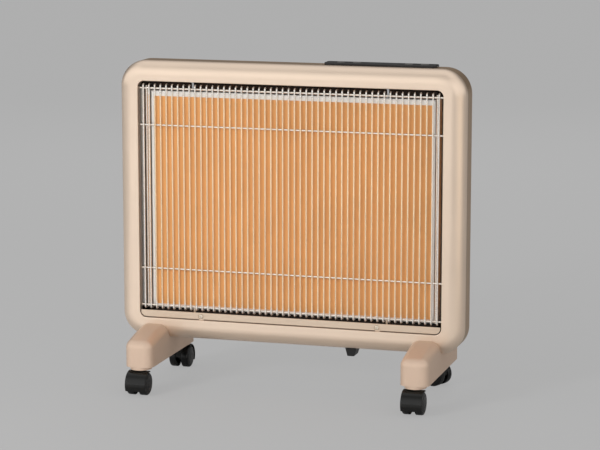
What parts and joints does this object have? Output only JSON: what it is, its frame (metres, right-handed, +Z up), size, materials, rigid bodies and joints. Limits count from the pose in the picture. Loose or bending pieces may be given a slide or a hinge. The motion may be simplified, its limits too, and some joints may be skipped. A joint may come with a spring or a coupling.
{
  "type": "far infrared panel heater",
  "caption": "Free-standing far infrared panel heater: a rounded frame with a wire guard over a radiant panel, on saddle legs with swivelling twin-wheel casters.",
  "frame": {"origin": "on the floor, under the middle of the heater", "axes": "+X to the heater's left hand side as it faces the room seen from behind, which is the viewer's right; +Y to the back; +Z up"},
  "size_m": [0.624, 0.271, 0.5837],
  "materials": {
    "champagne_frame": "satin metallic paint",
    "champagne_casing": "satin metallic paint",
    "champagne_leg": "satin metallic paint",
    "champagne_strip": "satin metallic paint",
    "screw_champagne": "painted",
    "zinc": "zinc plated",
    "guard_chrome": "bright plated",
    "polished_sheet": "polished",
    "trim_aluminium": "satin",
    "panel_orange": "ceramic coated",
    "mica": "matte",
    "insulation": "fibre board",
    "galvanised": "galvanised",
    "control_gloss": "gloss",
    "black_plastic": "matte",
    "circuit_board": "gloss",
    "display": "smoked",
    "brass": "plain",
    "lead_sheath": "matte",
    "button_grey": "satin",
    "caster_black": "semi-gloss",
    "wheel_black": "matte"
  },
  "bodies": {
    "housing": {"front_frame": "champagne_frame", "rear_casing": "champagne_casing", "casing_screws": "zinc", "guard_wires": "guard_chrome", "guard_rails": "guard_chrome", "guard_side_rods": "guard_chrome", "guard_hooks": "zinc", "guard_retainer": "champagne_strip", "retainer_screws": "screw_champagne", "reflector": "polished_sheet", "panel_trim": "trim_aluminium", "radiant_panel": "panel_orange", "heating_sheet": "mica", "insulation_board": "insulation", "backing_plate": "galvanised", "push_nuts": "zinc", "left_leg": "champagne_leg", "right_leg": "champagne_leg", "leg_screws": "zinc", "control_panel": "control_gloss", "control_box": "black_plastic", "control_board": "circuit_board", "control_screws": "zinc", "display_window": "display", "power_board": "circuit_board", "board_standoffs": "brass", "terminal_block": "black_plastic", "limit_switch": "black_plastic", "tip_switch_case": "black_plastic", "tip_switch_pin": "zinc", "wiring": "lead_sheath", "cord_gland": "black_plastic", "front_left_stem": "zinc", "front_right_stem": "zinc", "rear_left_stem": "zinc", "rear_right_stem": "zinc"},
    "cooler_button": {"cooler_button": "button_grey"},
    "warmer_button": {"warmer_button": "button_grey"},
    "timer_button": {"timer_button": "button_grey"},
    "power_button": {"power_button": "button_grey"},
    "tip_pendulum": {"tip_pendulum": "brass"},
    "front_left_fork": {"front_left_hood": "caster_black", "front_left_axle": "zinc"},
    "front_left_wheel_left": {"front_left_wheel_left": "wheel_black"},
    "front_left_wheel_right": {"front_left_wheel_right": "wheel_black"},
    "front_right_fork": {"front_right_hood": "caster_black", "front_right_axle": "zinc"},
    "front_right_wheel_left": {"front_right_wheel_left": "wheel_black"},
    "front_right_wheel_right": {"front_right_wheel_right": "wheel_black"},
    "rear_left_fork": {"rear_left_hood": "caster_black", "rear_left_axle": "zinc"},
    "rear_left_wheel_left": {"rear_left_wheel_left": "wheel_black"},
    "rear_left_wheel_right": {"rear_left_wheel_right": "wheel_black"},
    "rear_right_fork": {"rear_right_hood": "caster_black", "rear_right_axle": "zinc"},
    "rear_right_wheel_left": {"rear_right_wheel_left": "wheel_black"},
    "rear_right_wheel_right": {"rear_right_wheel_right": "wheel_black"}
  },
  "joints": [
    {"name": "cooler_button_press", "type": "slide", "parent": "housing", "child": "cooler_button", "axis": [0, 0, -1], "range_m": [0, 0.0007], "stiffness_N_per_m": 500},
    {"name": "warmer_button_press", "type": "slide", "parent": "housing", "child": "warmer_button", "axis": [0, 0, -1], "range_m": [0, 0.0007], "stiffness_N_per_m": 500},
    {"name": "timer_button_press", "type": "slide", "parent": "housing", "child": "timer_button", "axis": [0, 0, -1], "range_m": [0, 0.0007], "stiffness_N_per_m": 500},
    {"name": "power_button_press", "type": "slide", "parent": "housing", "child": "power_button", "axis": [0, 0, -1], "range_m": [0, 0.0007], "stiffness_N_per_m": 500},
    {"name": "tip_pendulum_swing", "type": "hinge", "parent": "housing", "child": "tip_pendulum", "pos_m": [-0.12, 0.0165, 0.176], "axis": [0, 1, 0], "range_deg": [-20, 20]},
    {"name": "front_left_swivel", "type": "hinge", "parent": "housing", "child": "front_left_fork", "pos_m": [-0.248, -0.1015, 0.03], "axis": [0, 0, 1], "continuous": true},
    {"name": "front_left_wheel_left_spin", "type": "hinge", "parent": "front_left_fork", "child": "front_left_wheel_left", "pos_m": [-0.248, -0.1125, 0.02], "axis": [-1, 0, 0], "continuous": true},
    {"name": "front_left_wheel_right_spin", "type": "hinge", "parent": "front_left_fork", "child": "front_left_wheel_right", "pos_m": [-0.248, -0.1125, 0.02], "axis": [-1, 0, 0], "continuous": true},
    {"name": "front_right_swivel", "type": "hinge", "parent": "housing", "child": "front_right_fork", "pos_m": [0.248, -0.1015, 0.03], "axis": [0, 0, 1], "continuous": true},
    {"name": "front_right_wheel_left_spin", "type": "hinge", "parent": "front_right_fork", "child": "front_right_wheel_left", "pos_m": [0.248, -0.1125, 0.02], "axis": [-1, 0, 0], "continuous": true},
    {"name": "front_right_wheel_right_spin", "type": "hinge", "parent": "front_right_fork", "child": "front_right_wheel_right", "pos_m": [0.248, -0.1125, 0.02], "axis": [-1, 0, 0], "continuous": true},
    {"name": "rear_left_swivel", "type": "hinge", "parent": "housing", "child": "rear_left_fork", "pos_m": [-0.248, 0.1015, 0.03], "axis": [0, 0, 1], "continuous": true},
    {"name": "rear_left_wheel_left_spin", "type": "hinge", "parent": "rear_left_fork", "child": "rear_left_wheel_left", "pos_m": [-0.248, 0.1125, 0.02], "axis": [1, 0, 0], "continuous": true},
    {"name": "rear_left_wheel_right_spin", "type": "hinge", "parent": "rear_left_fork", "child": "rear_left_wheel_right", "pos_m": [-0.248, 0.1125, 0.02], "axis": [1, 0, 0], "continuous": true},
    {"name": "rear_right_swivel", "type": "hinge", "parent": "housing", "child": "rear_right_fork", "pos_m": [0.248, 0.1015, 0.03], "axis": [0, 0, 1], "continuous": true},
    {"name": "rear_right_wheel_left_spin", "type": "hinge", "parent": "rear_right_fork", "child": "rear_right_wheel_left", "pos_m": [0.2378, 0.10562, 0.02], "axis": [0.3746, 0.9272, 0], "continuous": true},
    {"name": "rear_right_wheel_right_spin", "type": "hinge", "parent": "rear_right_fork", "child": "rear_right_wheel_right", "pos_m": [0.2378, 0.10562, 0.02], "axis": [0.3746, 0.9272, 0], "continuous": true}
  ]
}
